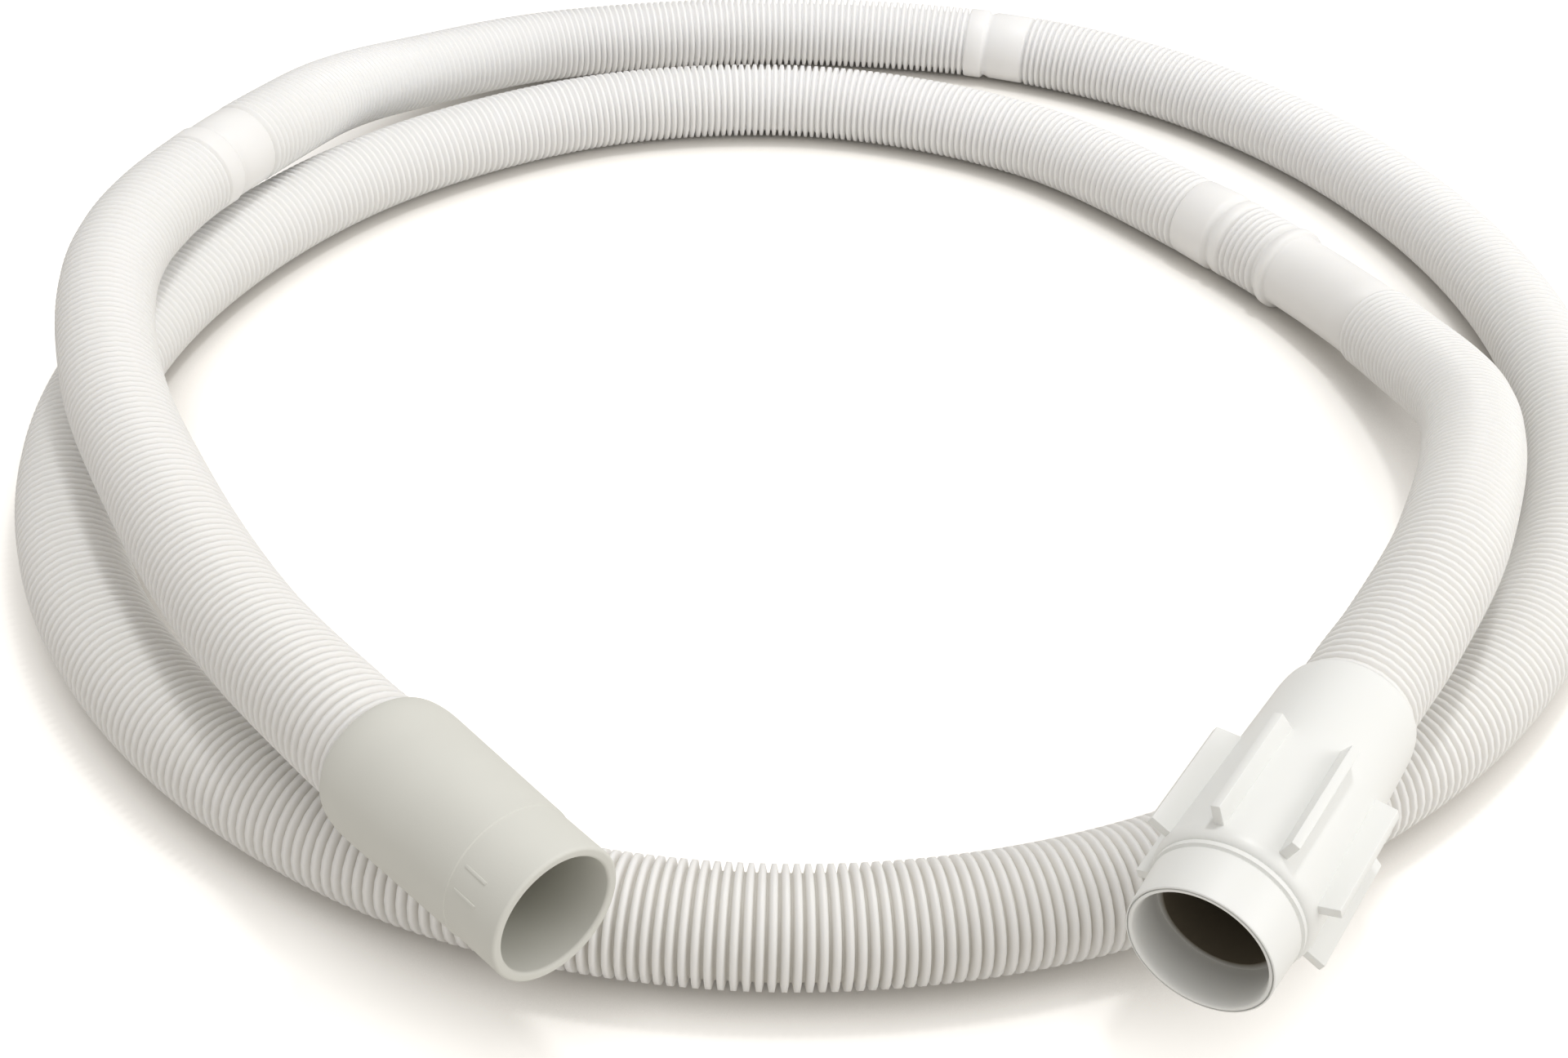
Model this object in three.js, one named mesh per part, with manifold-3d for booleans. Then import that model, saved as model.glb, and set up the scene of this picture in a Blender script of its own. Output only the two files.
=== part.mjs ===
// Dishwasher drain hose: a corrugated hose laid in two loose turns, with a soft cuff moulded on one end
// and a firm cuff with fins on the other. Millimetres, +Z up. The origin is on the floor under the
// middle of the whole thing, and the two cuffs' mouths point forward, towards -Y.

import * as THREE from 'three';
import { mergeVertices } from 'three/addons/utils/BufferGeometryUtils.js';
import Module from 'manifold-3d';

const wasm = await Module();
wasm.setup();

// Clearance where one piece sits in another, and where one run of hose lies on another
const fitGap = 0.3;

// Corrugated hose
const hoseDiameter = 26; // over the ridges
const hoseWall = 2.8; // from the top of a ridge to the clear way inside the grooves
const hoseSides = 12;
const hoseSteps = 80;

// Soft cuff, moulded on the hose and pushed over the machine's outlet
const softLength = 56;
const softGrip = 30; // length of hose inside it
const softWall = 2.5; // over the hose
const softRimWall = 0.8; // at the rear edge, where the wall thins out
const softShoulder = 7; // length over which the wall comes up from the rear edge
const softStepFromMouth = 14.5; // a shallow step runs round the cuff here
const softStepDiameter = 29.6; // on the rear side of the step
const softStepHeight = 0.25;
const softMouthBore = 24.6;
const softMouthWall = 2.1;
const softLipRound = 0.7;

// Finned cuff, a firmer moulding that takes the waste pipe's spigot
const finnedLength = 74.5;
const finnedGrip = 32; // length of hose inside it
const finnedRimWall = 0.6; // at the rear edge
const finnedDome = 8; // length of the rounded rear end
const finnedRearDiameter = 30; // the body grows wider from here
const finnedBodyDiameter = 32.6; // to here, at the front ends of the fins
const finnedNose = 11.5; // length of the plain ring behind the mouth
const finnedNoseDiameter = 30; // at the bead
const finnedMouthDiameter = 29.1;
const finnedMouthBore = 25.7;
const finnedFunnelDepth = 2.6; // the mouth opens out over this length
const finnedFunnelFlare = 0.7;
const finnedMouthRound = 0.5;
const finnedBeadHeight = 0.4;
const finnedThroatBore = 23.2; // between the mouth's bore and the hose
const finnedThroatFromMouth = 10;

const finCount = 8;
const finLength = 32.3;
const finHeight = 4.3; // at the front ends
const finThickness = 2;
const finFromMouth = 16.3; // front end of the fins
const finRamp = 2.5; // slope at their rear ends
const finRoot = 0.6; // how deep a fin starts under the body's surface

const roundSegments = 48;
const arcSteps = 6;
const lineDivisions = 2000; // for measuring along the centre line
const mergeDistance = 1e-4;

// Sizes that follow from those above
const hoseRadius = hoseDiameter / 2;
const hoseBoreRadius = hoseRadius - hoseWall;
const socketRadius = hoseRadius + fitGap;

// The hose's centre line from the soft cuff's rear edge to the finned cuff's: x and y, then the height
// of the line over that of a run on the floor, counted in runs of hose that lie on each other
const route = [
  [-95.2, -195, 1.115],
  [-105.9, -184.5, 1.09],
  [-135, -152, 0.97],
  [-166.7, -106.8, 0.93],
  [-194.2, -57.6, 0.96],
  [-208.6, -8.9, 1.05],
  [-206.4, 31.1, 1.04],
  [-184, 98.9, 0.87],
  [-174.7, 136.7, 0.55],
  [-156.9, 169.8, 0.25],
  [-117.4, 206.2, 0.05],
  [-58, 226.5, 0],
  [5, 231.5, 0],
  [69, 222, 0],
  [125, 193.5, 0],
  [168.5, 149.5, 0],
  [199, 92, 0],
  [211.6, 30.5, 0],
  [206, -33.5, 0],
  [183, -92, 0],
  [144, -143, 0],
  [93.5, -180.5, 0],
  [33, -204.5, 0],
  [-29, -210.5, 0],
  [-91.5, -197.5, 0],
  [-146.5, -164.5, 0],
  [-187.5, -116.5, 0],
  [-209.5, -57.5, 0],
  [-209, 6, 0],
  [-187, 66, 0],
  [-148.5, 116, 0],
  [-82.6, 158.2, 0],
  [-5.2, 168.5, 0],
  [68.3, 142.6, 0],
  [121, 89.3, 0],
  [150.3, 46.8, 0.04],
  [166.2, 3.5, 0.23],
  [168.5, -44.4, 0.66],
  [142.5, -113.9, 1.145],
  [120.4, -150.6, 1.158],
  [110, -165.1, 1.163],
  [103.2, -175.2, 1.165],
];

const routePoints = route.map(
  ([x, y, runs]) => new THREE.Vector3(x, y, hoseRadius + runs * (hoseDiameter + fitGap)),
);

// Each cuff stands in line with the hose where the hose enters it
function cuffPlace(rear, next) {
  const axis = rear.clone().sub(next).normalize();
  return { rear, axis, at: (along) => rear.clone().addScaledVector(axis, along) };
}

const softPlace = cuffPlace(routePoints[0], routePoints[1]);
const finnedPlace = cuffPlace(routePoints.at(-1), routePoints.at(-2));

// Points of a quarter of an ellipse from (x0, y0) to (x1, y1); it leaves the first point along x or y
function quarter(x0, y0, x1, y1, leaves) {
  const points = [];
  for (let i = 1; i < arcSteps; i += 1) {
    const turn = (i / arcSteps) * (Math.PI / 2);
    const slow = 1 - Math.cos(turn);
    const fast = Math.sin(turn);
    const [shareX, shareY] = leaves === 'x' ? [fast, slow] : [slow, fast];
    points.push([x0 + (x1 - x0) * shareX, y0 + (y1 - y0) * shareY]);
  }
  return points;
}

// A ring turned round the Y axis from a profile of [radius, place along the axis] that closes on itself
function turned(profile) {
  const points = [...profile, profile[0]].map(([radius, along]) => new THREE.Vector2(radius, along));
  return new THREE.LatheGeometry(points, roundSegments);
}

function toManifold(geometry) {
  const bare = geometry.clone();
  bare.deleteAttribute('normal');
  bare.deleteAttribute('uv');
  const merged = mergeVertices(bare, mergeDistance);
  return new wasm.Manifold(
    new wasm.Mesh({
      numProp: 3,
      vertProperties: new Float32Array(merged.attributes.position.array),
      triVerts: new Uint32Array(merged.index.array),
    }),
  );
}

function fromManifold(solid) {
  const mesh = solid.getMesh();
  const geometry = new THREE.BufferGeometry();
  geometry.setAttribute('position', new THREE.BufferAttribute(new Float32Array(mesh.vertProperties), 3));
  geometry.setIndex(new THREE.BufferAttribute(new Uint32Array(mesh.triVerts), 1));
  geometry.computeVertexNormals();
  return geometry;
}

// Hose

function circle(PathKind, radius) {
  const points = [];
  for (let i = 0; i < hoseSides; i += 1) {
    const turn = (i / hoseSides) * Math.PI * 2;
    points.push(new THREE.Vector2(radius * Math.cos(turn), radius * Math.sin(turn)));
  }
  return new PathKind(points);
}

function hoseGeometry() {
  const line = new THREE.CatmullRomCurve3(
    [softPlace.at(softGrip), ...routePoints, finnedPlace.at(finnedGrip)],
    false,
    'centripetal',
  );
  line.arcLengthDivisions = lineDivisions;
  const section = circle(THREE.Shape, hoseRadius);
  section.holes.push(circle(THREE.Path, hoseBoreRadius));
  return new THREE.ExtrudeGeometry(section, { steps: hoseSteps, extrudePath: line, bevelEnabled: false });
}

// Soft cuff, its axis along Y from the rear edge at 0 to the mouth

function softCuffGeometry() {
  const rim = socketRadius + softRimWall;
  const body = socketRadius + softWall;
  const socketFloor = softGrip + fitGap;
  const bore = softMouthBore / 2;
  const mouth = bore + softMouthWall;
  const step = softLength - softStepFromMouth;
  const beforeStep = softStepDiameter / 2;
  const lip = softLength - softLipRound;
  return turned([
    [socketRadius, 0],
    [rim, 0],
    ...quarter(rim, 0, body, softShoulder, 'x'),
    [body, softShoulder],
    [beforeStep, step],
    [beforeStep - softStepHeight, step + softStepHeight],
    [mouth, lip],
    ...quarter(mouth, lip, mouth - softLipRound, softLength, 'y'),
    [mouth - softLipRound, softLength],
    [bore + softLipRound, softLength],
    ...quarter(bore + softLipRound, softLength, bore, lip, 'x'),
    [bore, lip],
    [bore, socketFloor],
    [socketRadius, socketFloor],
  ]);
}

// Finned cuff, its axis along Y from the rear edge at 0 to the mouth

function finnedBodyProfile() {
  const rim = socketRadius + finnedRimWall;
  const rear = finnedRearDiameter / 2;
  const body = finnedBodyDiameter / 2;
  const nose = finnedNoseDiameter / 2;
  const noseStart = finnedLength - finnedNose;
  const shoulder = finnedLength - finFromMouth;
  const mouth = finnedMouthDiameter / 2;
  const mouthEdge = finnedLength - finnedMouthRound;
  const bore = finnedMouthBore / 2;
  const throat = finnedThroatBore / 2;
  const throatFront = finnedLength - finnedThroatFromMouth;
  const socketFloor = finnedGrip + fitGap;
  return [
    [socketRadius, 0],
    [rim, 0],
    ...quarter(rim, 0, rear, finnedDome, 'x'),
    [rear, finnedDome],
    [body, shoulder],
    ...quarter(body, shoulder, nose, noseStart - finnedBeadHeight, 'y'),
    [nose, noseStart - finnedBeadHeight],
    [nose + finnedBeadHeight, noseStart],
    [nose, noseStart + finnedBeadHeight],
    [mouth, mouthEdge],
    ...quarter(mouth, mouthEdge, mouth - finnedMouthRound, finnedLength, 'y'),
    [mouth - finnedMouthRound, finnedLength],
    [bore + finnedFunnelFlare, finnedLength],
    ...quarter(bore + finnedFunnelFlare, finnedLength, bore, finnedLength - finnedFunnelDepth, 'x'),
    [bore, finnedLength - finnedFunnelDepth],
    [bore, throatFront],
    [throat, throatFront],
    [throat, socketFloor],
    [socketRadius, socketFloor],
  ];
}

function finGeometry(turn) {
  const front = finnedLength - finFromMouth;
  const back = front - finLength;
  const taper = (finnedBodyDiameter - finnedRearDiameter) / 2 / (front - finnedDome);
  const foot = finnedBodyDiameter / 2 - taper * finLength;
  const root = foot - finRoot;
  const tip = finnedBodyDiameter / 2 + finHeight;
  const outline = new THREE.Shape([
    new THREE.Vector2(root, back),
    new THREE.Vector2(root, front),
    new THREE.Vector2(tip, front),
    new THREE.Vector2(tip, back + finRamp),
    new THREE.Vector2(foot, back),
  ].reverse());
  const fin = new THREE.ExtrudeGeometry(outline, { depth: finThickness, bevelEnabled: false });
  fin.translate(0, 0, -finThickness / 2);
  fin.rotateY(turn);
  return fin;
}

function finnedCuffGeometry() {
  let solid = toManifold(turned(finnedBodyProfile()));
  for (let i = 0; i < finCount; i += 1) {
    // Half a pitch off the vertical, so that the cuff lies between two fins
    const turn = ((i + 0.5) / finCount) * Math.PI * 2;
    solid = solid.add(toManifold(finGeometry(turn)));
  }
  return fromManifold(solid);
}

// Materials

const hosePlastic = new THREE.MeshStandardMaterial({ color: 0xe6e6e1, roughness: 0.45, metalness: 0 });
const softPlastic = new THREE.MeshStandardMaterial({ color: 0xd8d7cf, roughness: 0.7, metalness: 0 });
const firmPlastic = new THREE.MeshStandardMaterial({ color: 0xefeee8, roughness: 0.4, metalness: 0 });

// Assembly

// Turns a cuff from the Y axis to its own, with its X axis kept level
function stand(mesh, place) {
  const level = new THREE.Vector3(0, 0, 1).cross(place.axis).normalize();
  const up = new THREE.Vector3().crossVectors(level, place.axis);
  mesh.quaternion.setFromRotationMatrix(new THREE.Matrix4().makeBasis(level, place.axis, up));
  mesh.position.copy(place.rear);
  return mesh;
}

function named(name, geometry, material) {
  const mesh = new THREE.Mesh(geometry, material);
  mesh.name = name;
  return mesh;
}

const drainHose = new THREE.Group();
drainHose.add(
  named('drain_hose', hoseGeometry(), hosePlastic),
  stand(named('soft_cuff', softCuffGeometry(), softPlastic), softPlace),
  stand(named('finned_cuff', finnedCuffGeometry(), firmPlastic), finnedPlace),
);

export default drainHose;
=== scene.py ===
import math

import bpy
import numpy as np
from mathutils import Matrix, Vector


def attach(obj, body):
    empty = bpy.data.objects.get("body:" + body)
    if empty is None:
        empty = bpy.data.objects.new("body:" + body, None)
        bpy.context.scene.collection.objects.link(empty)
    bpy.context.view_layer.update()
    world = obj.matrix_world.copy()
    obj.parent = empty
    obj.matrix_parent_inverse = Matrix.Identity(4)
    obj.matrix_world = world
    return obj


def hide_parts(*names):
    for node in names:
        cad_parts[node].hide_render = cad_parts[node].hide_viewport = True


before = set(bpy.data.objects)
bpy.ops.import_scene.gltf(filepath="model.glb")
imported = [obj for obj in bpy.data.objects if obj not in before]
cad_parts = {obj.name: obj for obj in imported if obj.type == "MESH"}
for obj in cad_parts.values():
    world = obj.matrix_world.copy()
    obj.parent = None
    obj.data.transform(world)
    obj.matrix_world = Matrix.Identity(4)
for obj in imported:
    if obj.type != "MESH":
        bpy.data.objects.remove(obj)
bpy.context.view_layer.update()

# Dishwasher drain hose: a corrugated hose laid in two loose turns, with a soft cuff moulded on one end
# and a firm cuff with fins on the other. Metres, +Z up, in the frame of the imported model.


# Camera: it looks down on the laid hose from in front, as a product photograph does. Its place, tilt
# and focal length were fitted to the outlines of the hose and of both cuffs' mouths.

EYE = (-0.016, -0.4345, 0.30246)
LOOKS_DOWN = math.radians(39.42)
ROLL = math.radians(1.77)
LENS = 40.04  # mm, as is the sensor's width
SENSOR_WIDTH = 36
NEAREST_SEEN = 0.01

camera_data = bpy.data.cameras.new("camera")
camera_data.sensor_width = SENSOR_WIDTH
camera_data.lens = LENS
camera_data.clip_start = NEAREST_SEEN
camera = bpy.data.objects.new("camera", camera_data)
bpy.context.scene.collection.objects.link(camera)
tilt = Matrix.Rotation(math.pi / 2 - LOOKS_DOWN, 4, "X") @ Matrix.Rotation(ROLL, 4, "Z")
camera.matrix_world = Matrix.Translation(EYE) @ tilt
bpy.context.scene.camera = camera


# Hose: blow-moulded polypropylene, with a ridge every 2.45 mm. Between the ridges lie plain stretches
# that were moulded with it, where the maker cuts hoses to length. Its ends sit inside the two cuffs.

HOSE_DIAMETER = 0.026
HOSE_BORE = 0.0204
FIT_GAP = 0.0003
SOFT_GRIP = 0.030
FINNED_GRIP = 0.032
HOSE_SIDES = 24
LINE_STEPS = 60  # points of the centre line between two points of the route

# x and y in millimetres, then the height over a run on the floor, counted in runs that lie on each other
ROUTE = [
    (-95.2, -195, 1.115),
    (-105.9, -184.5, 1.09),
    (-135, -152, 0.97),
    (-166.7, -106.8, 0.93),
    (-194.2, -57.6, 0.96),
    (-208.6, -8.9, 1.05),
    (-206.4, 31.1, 1.04),
    (-184, 98.9, 0.87),
    (-174.7, 136.7, 0.55),
    (-156.9, 169.8, 0.25),
    (-117.4, 206.2, 0.05),
    (-58, 226.5, 0),
    (5, 231.5, 0),
    (69, 222, 0),
    (125, 193.5, 0),
    (168.5, 149.5, 0),
    (199, 92, 0),
    (211.6, 30.5, 0),
    (206, -33.5, 0),
    (183, -92, 0),
    (144, -143, 0),
    (93.5, -180.5, 0),
    (33, -204.5, 0),
    (-29, -210.5, 0),
    (-91.5, -197.5, 0),
    (-146.5, -164.5, 0),
    (-187.5, -116.5, 0),
    (-209.5, -57.5, 0),
    (-209, 6, 0),
    (-187, 66, 0),
    (-148.5, 116, 0),
    (-82.6, 158.2, 0),
    (-5.2, 168.5, 0),
    (68.3, 142.6, 0),
    (121, 89.3, 0),
    (150.3, 46.8, 0.04),
    (166.2, 3.5, 0.23),
    (168.5, -44.4, 0.66),
    (142.5, -113.9, 1.145),
    (120.4, -150.6, 1.158),
    (110, -165.1, 1.163),
    (103.2, -175.2, 1.165),
]


def route_point(x, y, runs):
    return Vector((x / 1000, y / 1000, HOSE_DIAMETER / 2 + runs * (HOSE_DIAMETER + FIT_GAP)))


route = [route_point(*place) for place in ROUTE]
soft_rear = route[0]
soft_axis = (route[0] - route[1]).normalized()
finned_rear = route[-1]
finned_axis = (route[-1] - route[-2]).normalized()


def smooth_line(points):
    """A centripetal Catmull-Rom curve through the points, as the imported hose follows."""
    ends = [2 * points[0] - points[1], *points, 2 * points[-1] - points[-2]]
    p = np.array([tuple(point) for point in ends])
    gaps = np.sqrt(np.linalg.norm(np.diff(p, axis=0), axis=1))
    t = (np.arange(LINE_STEPS) / LINE_STEPS)[:, None]
    pieces = []
    for i in range(1, len(p) - 2):
        before, start, end, after = p[i - 1], p[i], p[i + 1], p[i + 2]
        g0, g1, g2 = gaps[i - 1], gaps[i], gaps[i + 1]
        leave = g1 * ((start - before) / g0 - (end - before) / (g0 + g1) + (end - start) / g1)
        arrive = g1 * ((end - start) / g1 - (after - start) / (g1 + g2) + (after - end) / g2)
        square = -3 * start + 3 * end - 2 * leave - arrive
        cube = 2 * start - 2 * end + leave + arrive
        pieces.append(start + leave * t + square * t**2 + cube * t**3)
    pieces.append(p[-2:-1])
    return np.vstack(pieces)


line = smooth_line([soft_rear + soft_axis * SOFT_GRIP, *route, finned_rear + finned_axis * FINNED_GRIP])
along_line = np.concatenate([[0], np.cumsum(np.linalg.norm(np.diff(line, axis=0), axis=1))])
hose_length = along_line[-1]

# The section along the hose, as places along it and depths under its full diameter. In a ridge the
# places are shares of the pitch.
RIDGE_PITCH = 0.00245
GROOVE_DEPTH = 0.0020
CREST_DEPTH = 0.0001
RIDGE = [(0.0, GROOVE_DEPTH), (0.20, GROOVE_DEPTH), (0.38, CREST_DEPTH), (0.82, CREST_DEPTH)]
PLAIN_SHADE = 0.0007  # a plain stretch gets as much painted shade as a ridge at this depth

# The plain ends inside the cuffs, and the groove before the first ridge
PLAIN_IN_CUFF = 0.00015
SOFT_PLAIN = 0.028
FINNED_PLAIN = 0.030
PLAIN_SLOPE = 0.0005
FIRST_GROOVE = 0.0002

# A plain stretch with one groove: it is cut here for a shorter hose
CUT_BAND = [
    (0.0000, GROOVE_DEPTH),
    (0.0006, GROOVE_DEPTH),
    (0.0010, 0.0003),
    (0.0016, 0.0000),
    (0.0074, -0.0001),
    (0.0081, 0.0002),
    (0.0087, 0.0011),
    (0.0096, 0.0012),
    (0.0106, 0.0008),
    (0.0116, 0.0004),
    (0.0180, 0.0003),
    (0.0246, 0.0003),
    (0.0252, 0.0006),
]
CUT_BAND_LENGTH = 0.0258
CUT_BAND_STARTS = (0.3095, 0.6680)

# The widest plain stretch: a collar, six ridges and a narrower sleeve, in the order along the hose
SLEEVE_START = 2.0785
SLEEVE_BEFORE = [
    (0.0000, GROOVE_DEPTH),
    (0.0006, GROOVE_DEPTH),
    (0.0010, 0.0004),
    (0.0018, 0.0001),
    (0.0140, -0.0003),
    (0.0152, -0.0001),
    (0.0160, 0.0011),
    (0.0169, 0.0012),
    (0.0178, 0.0004),
    (0.0188, 0.0000),
    (0.0212, -0.0001),
    (0.0220, 0.0004),
]
SLEEVE_RIDGES_START = 0.0226
SLEEVE_RIDGES_END = 0.0373
SLEEVE_AFTER = [
    (0.0373, 0.0014),
    (0.0392, 0.0010),
    (0.0400, 0.0002),
    (0.0408, -0.0004),
    (0.0424, -0.0006),
    (0.0434, -0.0005),
    (0.0439, 0.0001),
    (0.0441, 0.0008),
    (0.0448, 0.0010),
    (0.0600, 0.0010),
    (0.0770, 0.0010),
    (0.0850, 0.0009),
]
SLEEVE_LENGTH = 0.0858
INNER_STEP = 0.02  # spacing of the rings of the bore


def ridges(start, end):
    count = round((end - start) / RIDGE_PITCH)
    pitch = (end - start) / count
    return [(start + (i + share) * pitch, depth, depth) for i in range(count) for share, depth in RIDGE]


def shifted(section, start):
    return [(start + along, depth, max(depth, PLAIN_SHADE)) for along, depth in section]


plain_in_soft = [
    (0.0, PLAIN_IN_CUFF),
    (SOFT_PLAIN, PLAIN_IN_CUFF),
    (SOFT_PLAIN + PLAIN_SLOPE, GROOVE_DEPTH),
]
plain_in_finned = [
    (-FINNED_PLAIN - PLAIN_SLOPE, GROOVE_DEPTH),
    (-FINNED_PLAIN, PLAIN_IN_CUFF),
    (0.0, PLAIN_IN_CUFF),
]
section = shifted(plain_in_soft, 0)
ridges_from = SOFT_PLAIN + PLAIN_SLOPE + FIRST_GROOVE
for band_start in CUT_BAND_STARTS:
    section += ridges(ridges_from, band_start) + shifted(CUT_BAND, band_start)
    ridges_from = band_start + CUT_BAND_LENGTH
section += ridges(ridges_from, SLEEVE_START) + shifted(SLEEVE_BEFORE, SLEEVE_START)
section += ridges(SLEEVE_START + SLEEVE_RIDGES_START, SLEEVE_START + SLEEVE_RIDGES_END)
section += shifted(SLEEVE_AFTER, SLEEVE_START)
section += ridges(SLEEVE_START + SLEEVE_LENGTH, hose_length - FINNED_PLAIN - PLAIN_SLOPE)
section += shifted(plain_in_finned, hose_length)

# Each ring has a place along the hose, a radius and the depth that sets its painted shade
outer = [(along, HOSE_DIAMETER / 2 - depth, tone) for along, depth, tone in section]
inner_places = np.linspace(hose_length, 0, round(hose_length / INNER_STEP))
inner = [(along, HOSE_BORE / 2, 0.0) for along in inner_places]
rings = np.array(outer + inner)
ring_places, ring_radii, ring_shades = rings.T


def at_rings(values):
    """Reads values kept along the centre line at each ring."""
    return np.stack([np.interp(ring_places, along_line, values[:, k]) for k in range(3)], axis=1)


centres = at_rings(line)
tangents = at_rings(np.gradient(line, along_line, axis=0))
tangents /= np.linalg.norm(tangents, axis=1)[:, None]
sides = np.cross(tangents, (0, 0, 1))
sides /= np.linalg.norm(sides, axis=1)[:, None]
tops = np.cross(sides, tangents)
turns = np.arange(HOSE_SIDES) / HOSE_SIDES * 2 * math.pi
spokes = sides[:, None] * np.cos(turns)[None, :, None] + tops[:, None] * np.sin(turns)[None, :, None]
points = (centres[:, None] + spokes * ring_radii[:, None, None]).reshape(-1, 3)

ring_count = len(rings)
this_ring = np.arange(ring_count)[:, None] * HOSE_SIDES
next_ring = (np.arange(1, ring_count + 1) % ring_count)[:, None] * HOSE_SIDES
this_side = np.arange(HOSE_SIDES)[None, :]
next_side = (this_side + 1) % HOSE_SIDES
faces = np.stack(
    [this_ring + this_side, this_ring + next_side, next_ring + next_side, next_ring + this_side], axis=2
).reshape(-1, 4)


def keep_on_points(mesh, name, values):
    """Keeps a value on each point of a mesh, for its material to read."""
    mesh.attributes.new(name, "FLOAT", "POINT").data.foreach_set("value", values.astype(np.float32))


hose_mesh = bpy.data.meshes.new("corrugated_hose")
hose_mesh.from_pydata(points.tolist(), [], faces.tolist())
hose_mesh.polygons.foreach_set("use_smooth", [True] * len(faces))
hose = bpy.data.objects.new("corrugated_hose", hose_mesh)
bpy.context.scene.collection.objects.link(hose)

# Painted shade: the grooves, and a little the ridges, are painted darker towards the front, for shade in
# the grooves and for light that falls off towards the front
FRONT_SHADE_FROM, FRONT_SHADE_FULL = 0.15, -0.15  # places on the Y axis
GROOVE_SHADE = 0.6
RIDGE_SHADE = 0.15
front_shading = np.interp(centres[:, 1], (FRONT_SHADE_FULL, FRONT_SHADE_FROM), (1.0, 0.0))
groove_shading = np.interp(ring_shades, (0, GROOVE_DEPTH), (RIDGE_SHADE, GROOVE_SHADE))
keep_on_points(hose_mesh, "painted_groove_shade", np.repeat(front_shading * groove_shading, HOSE_SIDES))
# Marks the bore's rings, which the material paints dark as painted shade
keep_on_points(hose_mesh, "inside", np.repeat(np.arange(ring_count) >= len(outer), HOSE_SIDES))


def linear(hex_colour):
    """A colour written as sRGB hex, as linear red, green, blue and alpha."""
    channels = [int(hex_colour[i : i + 2], 16) / 255 for i in (1, 3, 5)]
    return (*(c / 12.92 if c <= 0.04045 else ((c + 0.055) / 1.055) ** 2.4 for c in channels), 1.0)


def add_node(owner, kind, settings=None, **sockets):
    """Adds a node to a material or the world.

    Settings are the node's own values. A socket is named by its words, or by i and its number, and takes
    a value or another node's output.
    """
    node = owner.node_tree.nodes.new(kind)
    for name, value in (settings or {}).items():
        setattr(node, name, value)
    for name, value in sockets.items():
        socket = node.inputs[name.replace("_", " ")] if name[0] != "i" else node.inputs[int(name[1:])]
        if isinstance(value, bpy.types.NodeSocket):
            owner.node_tree.links.new(value, socket)
        else:
            socket.default_value = value
    return node


def new_material(name):
    material = bpy.data.materials.new(name)
    material.use_nodes = True
    material.node_tree.nodes.clear()
    return material


def noise(material, size, detail):
    """Adds noise in patches of this size, in metres, which is fixed to the piece."""
    place = add_node(material, "ShaderNodeTexCoord").outputs["Object"]
    patches = add_node(material, "ShaderNodeTexNoise", Vector=place, Scale=1 / size, Detail=detail)
    return patches.outputs["Fac"]


def from_points(material, name):
    """Reads a value that is kept on the mesh's points."""
    return add_node(material, "ShaderNodeAttribute", {"attribute_name": name}).outputs["Fac"]


def mixed(material, share, first, second):
    """Mixes two colours, each of them linear values or another node's output."""
    mix = add_node(material, "ShaderNodeMix", {"data_type": "RGBA"}, i0=share, i6=first, i7=second)
    return mix.outputs[2]


def mould(material, colour, grain, grain_strength, grain_height, **sockets):
    """Gives a material its shader, with a fine grain on its surface."""
    bumps = add_node(
        material, "ShaderNodeBump", Strength=grain_strength, Distance=grain_height, Height=grain
    )
    shader = add_node(
        material,
        "ShaderNodeBsdfPrincipled",
        Base_Color=colour,
        Normal=bumps.outputs["Normal"],
        **sockets,
    )
    add_node(material, "ShaderNodeOutputMaterial", Surface=shader.outputs["BSDF"])


# Natural polypropylene, blow-moulded: milky white, satin, with a little light inside the thin walls
hose_plastic = new_material("blow_moulded_polypropylene")
unshaded_colour = mixed(hose_plastic, noise(hose_plastic, 0.06, 2.0), linear("#F9F9F9"), linear("#F4F4F3"))
# The hose's colour with painted shade: darker in the grooves, and darker towards the front
shaded_colour = mixed(hose_plastic, from_points(hose_plastic, "painted_groove_shade"), unshaded_colour, linear("#C2BCAE"))
mould(
    hose_plastic,
    # the bore is painted dark: painted shade where little light gets in
    mixed(hose_plastic, from_points(hose_plastic, "inside"), shaded_colour, linear("#5E5C4E")),
    grain=noise(hose_plastic, 0.0006, 2.0),
    grain_strength=0.15,
    grain_height=0.00005,
    Roughness=0.45,
    IOR=1.49,
    Subsurface_Weight=0.3,
    Subsurface_Radius=(0.0020, 0.0019, 0.0017),
    Subsurface_Scale=1.0,
)
hose_mesh.materials.append(hose_plastic)

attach(hose, "root")
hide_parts("drain_hose")


# Soft cuff: a grey-beige thermoplastic rubber moulding, matt, pushed over the machine's outlet. It
# thins out to an edge on the hose, and a shallow step runs round it behind the mouth.

SOCKET = HOSE_DIAMETER / 2 + FIT_GAP
SOFT_LENGTH = 0.056
SOFT_RIM = SOCKET + 0.0008
SOFT_BODY = SOCKET + 0.0025
SOFT_SHOULDER = 0.007
SOFT_STEP = SOFT_LENGTH - 0.0145
SOFT_STEP_RADIUS = 0.0148
SOFT_STEP_HEIGHT = 0.00025
SOFT_BORE = 0.0123
SOFT_MOUTH = SOFT_BORE + 0.0021
SOFT_LIP = 0.0007
TURNED_SIDES = 96
ARC_STEPS = 8
ROUNDING_STEPS = 2
SMOOTH_UNDER = math.radians(35)
SAME_POINT = 1e-6  # points this near to each other are one
ON_WALL = 0.0001  # a point this near to a wall counts as on it


def quarter(start, end, leaves):
    """Places (radius, along) on a quarter of an ellipse, which leaves its start along the named one."""
    places = []
    for i in range(1, ARC_STEPS):
        turn = i / ARC_STEPS * math.pi / 2
        slow, fast = 1 - math.cos(turn), math.sin(turn)
        shares = (fast, slow) if leaves == "radius" else (slow, fast)
        places.append(tuple(a + (b - a) * share for a, b, share in zip(start, end, shares)))
    return [*places, end]


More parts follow.
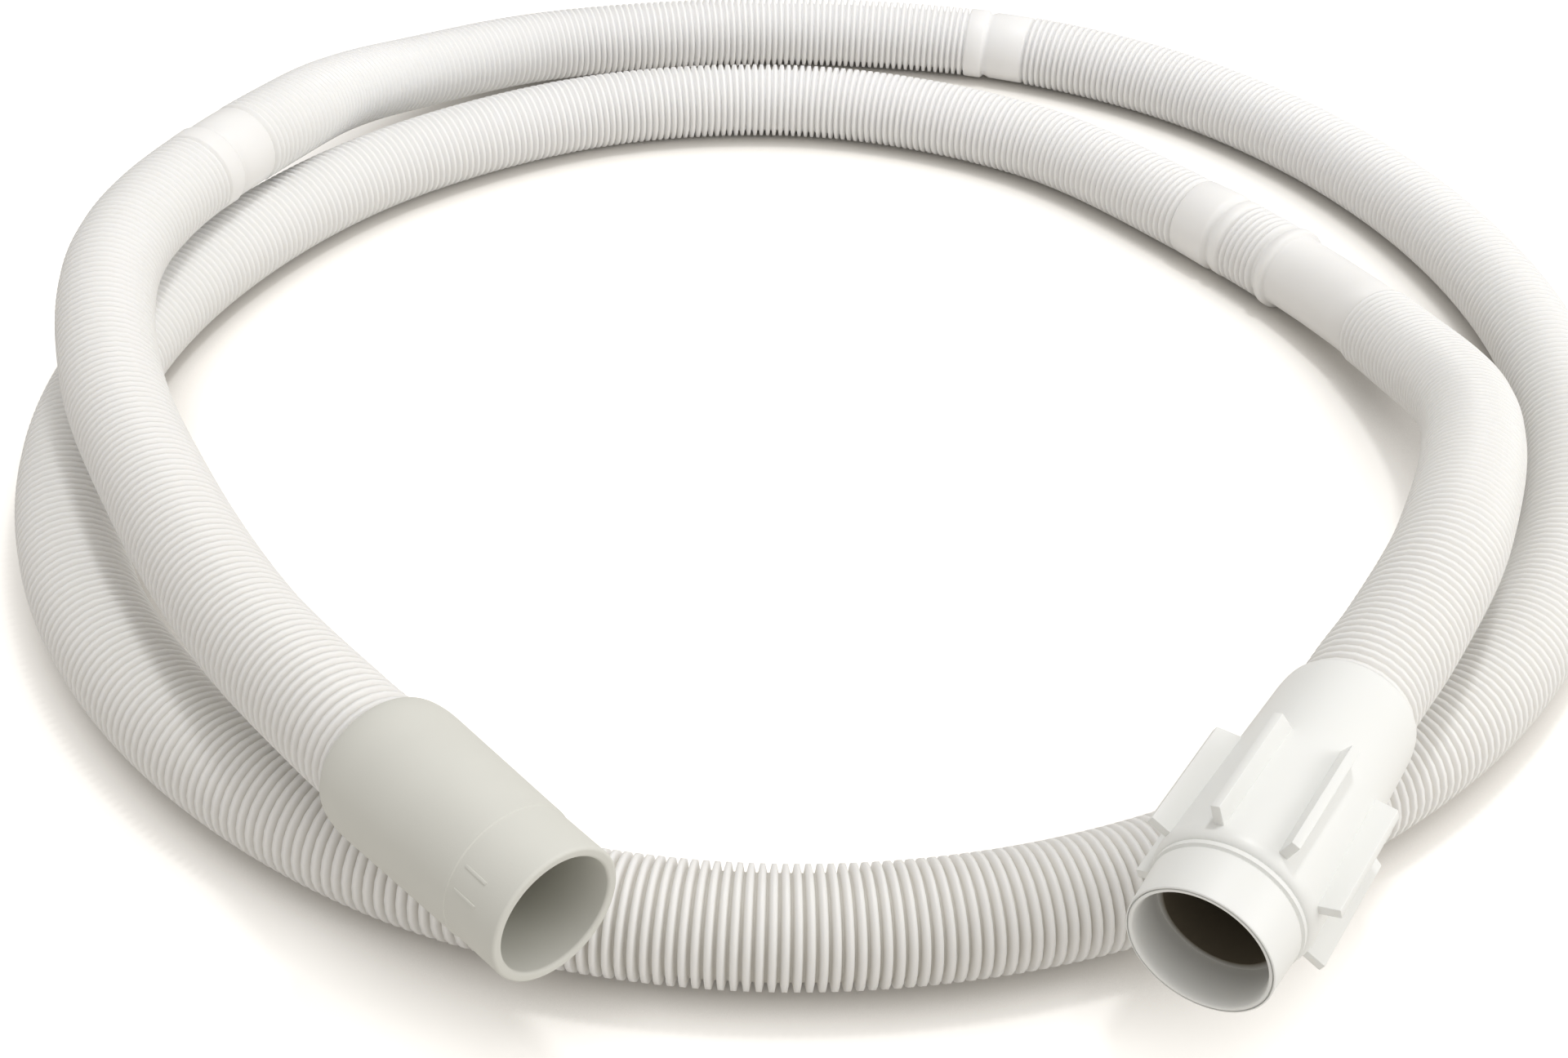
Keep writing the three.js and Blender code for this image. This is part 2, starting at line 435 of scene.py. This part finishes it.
def turned_by_hand(name, profile):
    """A ring pulled along a closed profile of (radius, along) with extrude and scale, about the Z axis."""
    bpy.ops.object.select_all(action="DESELECT")
    radius, along = profile[0]
    bpy.ops.mesh.primitive_circle_add(vertices=TURNED_SIDES, radius=radius, location=(0, 0, along))
    bpy.ops.object.transform_apply(location=True)
    bpy.ops.object.mode_set(mode="EDIT")
    bpy.ops.mesh.select_all(action="SELECT")
    for next_radius, next_along in [*profile[1:], profile[0]]:
        bpy.ops.mesh.extrude_region_move(TRANSFORM_OT_translate={"value": (0, 0, next_along - along)})
        share = next_radius / radius
        bpy.ops.transform.resize(value=(share, share, 1), center_override=(0, 0, next_along))
        radius, along = next_radius, next_along
    bpy.ops.mesh.select_all(action="SELECT")
    bpy.ops.mesh.remove_doubles(threshold=SAME_POINT)
    bpy.ops.mesh.normals_make_consistent(inside=False)
    bpy.ops.object.mode_set(mode="OBJECT")
    piece = bpy.context.object
    piece.name = piece.data.name = name
    return piece


def mark_bore_shade(piece, bore, mouth, reach, throat=0):
    """Keeps on the bore's points how deep they lie, squared and up to 1, and on the throat's points 1,
    which the materials paint as shade in the bore.
    """
    places = np.empty(len(piece.data.vertices) * 3, dtype=np.float32)
    piece.data.vertices.foreach_get("co", places)
    places = places.reshape(-1, 3)
    radii = np.hypot(places[:, 0], places[:, 1])
    depths = np.clip((mouth - places[:, 2]) / reach, 0, 1) ** 2
    depths[radii < throat + ON_WALL] = 1
    keep_on_points(piece.data, "inside", np.where(radii < bore + ON_WALL, depths, 0))


def stand(piece, rear, axis):
    """Turns a piece from the Z axis to its own axis, with its X axis kept level."""
    level = Vector((0, 0, 1)).cross(axis).normalized()
    across = axis.cross(level)
    turn = Matrix((level, across, axis)).transposed().to_4x4()
    piece.data.transform(Matrix.Translation(rear) @ turn)
    piece.data.update()


def select(*pieces):
    """Selects these pieces and nothing else, and makes the last one active."""
    bpy.ops.object.select_all(action="DESELECT")
    for piece in pieces:
        piece.select_set(True)
    bpy.context.view_layer.objects.active = pieces[-1]


def block(middle, size):
    """A box along the axes, before its edges are rounded."""
    bpy.ops.mesh.primitive_cube_add(size=1, location=middle, scale=size)
    bpy.ops.object.transform_apply(location=True, rotation=True, scale=True)
    return bpy.context.object


def round_edges(piece, width):
    select(piece)
    rounding = piece.modifiers.new("rounding", "BEVEL")
    rounding.width = width
    rounding.segments = ROUNDING_STEPS
    bpy.ops.object.modifier_apply(modifier="rounding")


soft_cuff = turned_by_hand(
    "soft_cuff_moulding",
    [
        (SOCKET, 0),
        (SOFT_RIM, 0),
        *quarter((SOFT_RIM, 0), (SOFT_BODY, SOFT_SHOULDER), "radius"),
        (SOFT_STEP_RADIUS, SOFT_STEP),
        (SOFT_STEP_RADIUS - SOFT_STEP_HEIGHT, SOFT_STEP + SOFT_STEP_HEIGHT),
        (SOFT_MOUTH, SOFT_LENGTH - SOFT_LIP),
        *quarter((SOFT_MOUTH, SOFT_LENGTH - SOFT_LIP), (SOFT_MOUTH - SOFT_LIP, SOFT_LENGTH), "along"),
        (SOFT_BORE + SOFT_LIP, SOFT_LENGTH),
        *quarter((SOFT_BORE + SOFT_LIP, SOFT_LENGTH), (SOFT_BORE, SOFT_LENGTH - SOFT_LIP), "radius"),
        (SOFT_BORE, SOFT_GRIP + FIT_GAP),
        (SOCKET, SOFT_GRIP + FIT_GAP),
    ],
)
# Two short raised lines between the step and the mouth
MARK_TURNS = (131, 150.5)  # degrees round the cuff
MARK_LENGTH = 0.0061
MARK_WIDTH = 0.0006
MARK_RAISED = 0.0002
MARK_MIDDLE = SOFT_LENGTH - 0.0097
MARK_RADIUS = 0.01448
marks = []
for turn in MARK_TURNS:
    mark = block(middle=(MARK_RADIUS, 0, MARK_MIDDLE), size=(2 * MARK_RAISED, MARK_WIDTH, MARK_LENGTH))
    mark.data.transform(Matrix.Rotation(math.radians(turn), 4, "Z"))
    round_edges(mark, MARK_RAISED / 2)
    marks.append(mark)
select(*marks, soft_cuff)
bpy.ops.object.join()
bpy.ops.object.shade_smooth_by_angle(angle=SMOOTH_UNDER)
mark_bore_shade(soft_cuff, SOFT_BORE, SOFT_LENGTH, SOFT_LENGTH - SOFT_GRIP)
stand(soft_cuff, soft_rear, soft_axis)

# Thermoplastic rubber, injection-moulded: grey-beige and matt, so that light on it fades softly
soft_plastic = new_material("thermoplastic_rubber")
outside = mixed(soft_plastic, noise(soft_plastic, 0.02, 3.0), linear("#DADAD3"), linear("#D2D2CB"))
mould(
    soft_plastic,
    # the bore is painted greyer deeper in: painted shade inside the mouth
    mixed(soft_plastic, from_points(soft_plastic, "inside"), outside, linear("#A6A598")),
    grain=noise(soft_plastic, 0.0004, 3.0),
    grain_strength=0.3,
    grain_height=0.00006,
    Roughness=0.62,
    IOR=1.5,
)
soft_cuff.data.materials.append(soft_plastic)

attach(soft_cuff, "root")
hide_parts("soft_cuff")


# Finned cuff: a firm off-white polypropylene moulding that takes the waste pipe's spigot. Eight fins
# stiffen it and give a grip, and a plain ring with a bead behind it makes the mouth.

FINNED_LENGTH = 0.0745
FINNED_RIM = SOCKET + 0.0006
FINNED_DOME = 0.008
FINNED_REAR = 0.015
FINNED_BODY = 0.0163
FINNED_NOSE = 0.0150
FINNED_NOSE_START = FINNED_LENGTH - 0.0115
FINNED_MOUTH = 0.01455
FINNED_MOUTH_ROUND = 0.0003
LIP_GROOVE = 0.0003  # the width of the groove in the mouth's face, which is twice as deep
FINNED_BORE = 0.01285
FINNED_FUNNEL_DEPTH = 0.0026
FINNED_FUNNEL = FINNED_BORE + 0.0007
FINNED_BEAD = 0.00035
FINNED_BEAD_WIDTH = 0.001
FINNED_GROOVE = 0.0003
FINNED_THROAT = 0.0116
FINNED_THROAT_FRONT = FINNED_LENGTH - 0.010
FINNED_SHADE_REACH = 0.016  # the bore's painted shade would reach the throat's dark tone this deep behind the mouth
BEAD_BACK = FINNED_NOSE_START - FINNED_GROOVE - FINNED_BEAD_WIDTH
FINS_FRONT = FINNED_LENGTH - 0.0163
FIN_COUNT = 8
FIN_LENGTH = 0.0323
FIN_HEIGHT = 0.0043
FIN_THICKNESS = 0.002
FIN_RAMP = 0.0025
FIN_ROOT = 0.0006
FIN_EDGE = 0.00025

finned_cuff = turned_by_hand(
    "finned_cuff_moulding",
    [
        (SOCKET, 0),
        (FINNED_RIM, 0),
        *quarter((FINNED_RIM, 0), (FINNED_REAR, FINNED_DOME), "radius"),
        (FINNED_BODY, FINS_FRONT),
        *quarter((FINNED_BODY, FINS_FRONT), (FINNED_NOSE, BEAD_BACK - FINNED_BEAD), "along"),
        (FINNED_NOSE + FINNED_BEAD, BEAD_BACK),
        (FINNED_NOSE + FINNED_BEAD, FINNED_NOSE_START - FINNED_GROOVE),
        (FINNED_NOSE - FINNED_GROOVE, FINNED_NOSE_START),
        (FINNED_NOSE - FINNED_GROOVE, FINNED_NOSE_START + FINNED_GROOVE),
        (FINNED_NOSE, FINNED_NOSE_START + 2 * FINNED_GROOVE),
        (FINNED_MOUTH, FINNED_LENGTH - FINNED_MOUTH_ROUND),
        *quarter(
            (FINNED_MOUTH, FINNED_LENGTH - FINNED_MOUTH_ROUND),
            (FINNED_MOUTH - FINNED_MOUTH_ROUND, FINNED_LENGTH),
            "along",
        ),
        (FINNED_MOUTH - FINNED_MOUTH_ROUND, FINNED_LENGTH - 2 * LIP_GROOVE),
        (FINNED_MOUTH - FINNED_MOUTH_ROUND - LIP_GROOVE, FINNED_LENGTH - 2 * LIP_GROOVE),
        (FINNED_MOUTH - FINNED_MOUTH_ROUND - LIP_GROOVE, FINNED_LENGTH),
        (FINNED_FUNNEL, FINNED_LENGTH),
        *quarter(
            (FINNED_FUNNEL, FINNED_LENGTH), (FINNED_BORE, FINNED_LENGTH - FINNED_FUNNEL_DEPTH), "radius"
        ),
        (FINNED_BORE, FINNED_THROAT_FRONT),
        (FINNED_THROAT, FINNED_THROAT_FRONT),
        (FINNED_THROAT, FINNED_GRIP + FIT_GAP),
        (SOCKET, FINNED_GRIP + FIT_GAP),
    ],
)

# One fin: a slab with a slope at its rear end, standing out along X. It is set round the body in turn.
taper = (FINNED_BODY - FINNED_REAR) / (FINS_FRONT - FINNED_DOME)
fin_foot = FINNED_BODY - taper * FIN_LENGTH
fin_height = FINNED_BODY + FIN_HEIGHT - fin_foot + FIN_ROOT
fin = block(
    middle=(fin_foot - FIN_ROOT + fin_height / 2, 0, FINS_FRONT - FIN_LENGTH / 2),
    size=(fin_height, FIN_THICKNESS, FIN_LENGTH),
)
for vertex in fin.data.vertices:
    if vertex.co.x > FINNED_BODY and vertex.co.z < FINS_FRONT - FIN_LENGTH / 2:
        vertex.co.z += FIN_RAMP
round_edges(fin, FIN_EDGE)
for i in range(FIN_COUNT):
    turned = fin.copy()
    turned.data = fin.data.copy()
    turned.data.transform(Matrix.Rotation((i + 0.5) / FIN_COUNT * 2 * math.pi, 4, "Z"))
    bpy.context.scene.collection.objects.link(turned)
    join = finned_cuff.modifiers.new("join", "BOOLEAN")
    join.operation = "UNION"
    join.solver = "EXACT"
    join.object = turned
    select(finned_cuff)
    bpy.ops.object.modifier_apply(modifier="join")
    bpy.data.objects.remove(turned)
bpy.data.objects.remove(fin)
select(finned_cuff)
bpy.ops.object.shade_smooth_by_angle(angle=SMOOTH_UNDER)
mark_bore_shade(finned_cuff, FINNED_BORE, FINNED_LENGTH, FINNED_SHADE_REACH, throat=FINNED_THROAT)
stand(finned_cuff, finned_rear, finned_axis)

# Polypropylene, injection-moulded: off-white and satin, with a soft shine on its edges
firm_plastic = new_material("injection_moulded_polypropylene")
outside = mixed(firm_plastic, noise(firm_plastic, 0.03, 2.0), linear("#EEEFED"), linear("#E9EAE7"))
mould(
    firm_plastic,
    # the bore is painted darker deeper in and the throat dark brown: painted shade inside the mouth
    mixed(firm_plastic, from_points(firm_plastic, "inside"), outside, linear("#665E50")),
    grain=noise(firm_plastic, 0.0005, 2.0),
    grain_strength=0.15,
    grain_height=0.00005,
    Roughness=0.38,
    IOR=1.49,
    Subsurface_Weight=0.1,
    Subsurface_Radius=(0.0016, 0.0015, 0.0013),
    Subsurface_Scale=1.0,
)
finned_cuff.data.materials.append(firm_plastic)

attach(finned_cuff, "root")
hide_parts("finned_cuff")


# Floor and light: a white floor, which glows a little for the camera where it lies open, a room that is
# brighter on the right, a small light high over the middle and a softer one at the front on the right.

FLOOR_SIZE = 6.0
SHADE_REACH = 0.035  # the hose dims the floor's glow up to this far from it
GLOW_FROM, GLOW_FULL = 0.35, 0.9  # how open the floor is where the glow starts and where it is full
GLOW = 0.6
SHADE_SAMPLES = 8

bpy.ops.object.select_all(action="DESELECT")
bpy.ops.mesh.primitive_plane_add(size=FLOOR_SIZE, location=(0, 0, 0))
floor = bpy.context.object
floor.name = "floor"
floor_paint = new_material("white_paper")
on_camera = add_node(floor_paint, "ShaderNodeLightPath").outputs["Is Camera Ray"]
open_floor = add_node(
    floor_paint, "ShaderNodeAmbientOcclusion", {"samples": SHADE_SAMPLES}, Distance=SHADE_REACH
)
bright = add_node(
    floor_paint,
    "ShaderNodeMapRange",
    Value=open_floor.outputs["AO"],
    From_Min=GLOW_FROM,
    From_Max=GLOW_FULL,
    To_Max=GLOW,
)
glow = add_node(
    floor_paint, "ShaderNodeMath", {"operation": "MULTIPLY"}, i0=on_camera, i1=bright.outputs["Result"]
)
shader = add_node(
    floor_paint,
    "ShaderNodeBsdfPrincipled",
    Base_Color=linear("#E4E1DC"),
    Roughness=0.9,
    Emission_Color=linear("#FFFEFC"),
    Emission_Strength=glow.outputs[0],
)
add_node(floor_paint, "ShaderNodeOutputMaterial", Surface=shader.outputs["BSDF"])
floor.data.materials.append(floor_paint)

BRIGHT_SIDE = (0.62, -0.1, 0.78)
DIMMEST, BRIGHTEST = 0.24, 0.92
world = bpy.data.worlds.new("room")
world.use_nodes = True
direction = add_node(world, "ShaderNodeTexCoord").outputs["Generated"]
facing = add_node(world, "ShaderNodeVectorMath", {"operation": "DOT_PRODUCT"}, i0=direction, i1=BRIGHT_SIDE)
brightness = add_node(
    world,
    "ShaderNodeMapRange",
    Value=facing.outputs["Value"],
    From_Min=-1.0,
    To_Min=DIMMEST,
    To_Max=BRIGHTEST,
)
background = world.node_tree.nodes["Background"]
background.inputs["Color"].default_value = linear("#FFFCF8")
world.node_tree.links.new(brightness.outputs["Result"], background.inputs["Strength"])
bpy.context.scene.world = world


def soft_light(name, place, size, power, colour):
    """A round lamp of this size that shines at the middle of the floor."""
    lamp = bpy.data.lights.new(name, "AREA")
    lamp.shape = "DISK"
    lamp.size = size
    lamp.energy = power
    lamp.color = linear(colour)[:3]
    holder = bpy.data.objects.new(name, lamp)
    bpy.context.scene.collection.objects.link(holder)
    holder.location = place
    holder.rotation_euler = (-Vector(place)).to_track_quat("-Z", "Y").to_euler()


soft_light("key", place=(0.14, 0.10, 1.0), size=0.12, power=2.5, colour="#FCFDFF")
soft_light("side", place=(0.9, -0.35, 0.6), size=0.6, power=2.2, colour="#FFFFFF")

bpy.context.scene.view_settings.view_transform = "Standard"
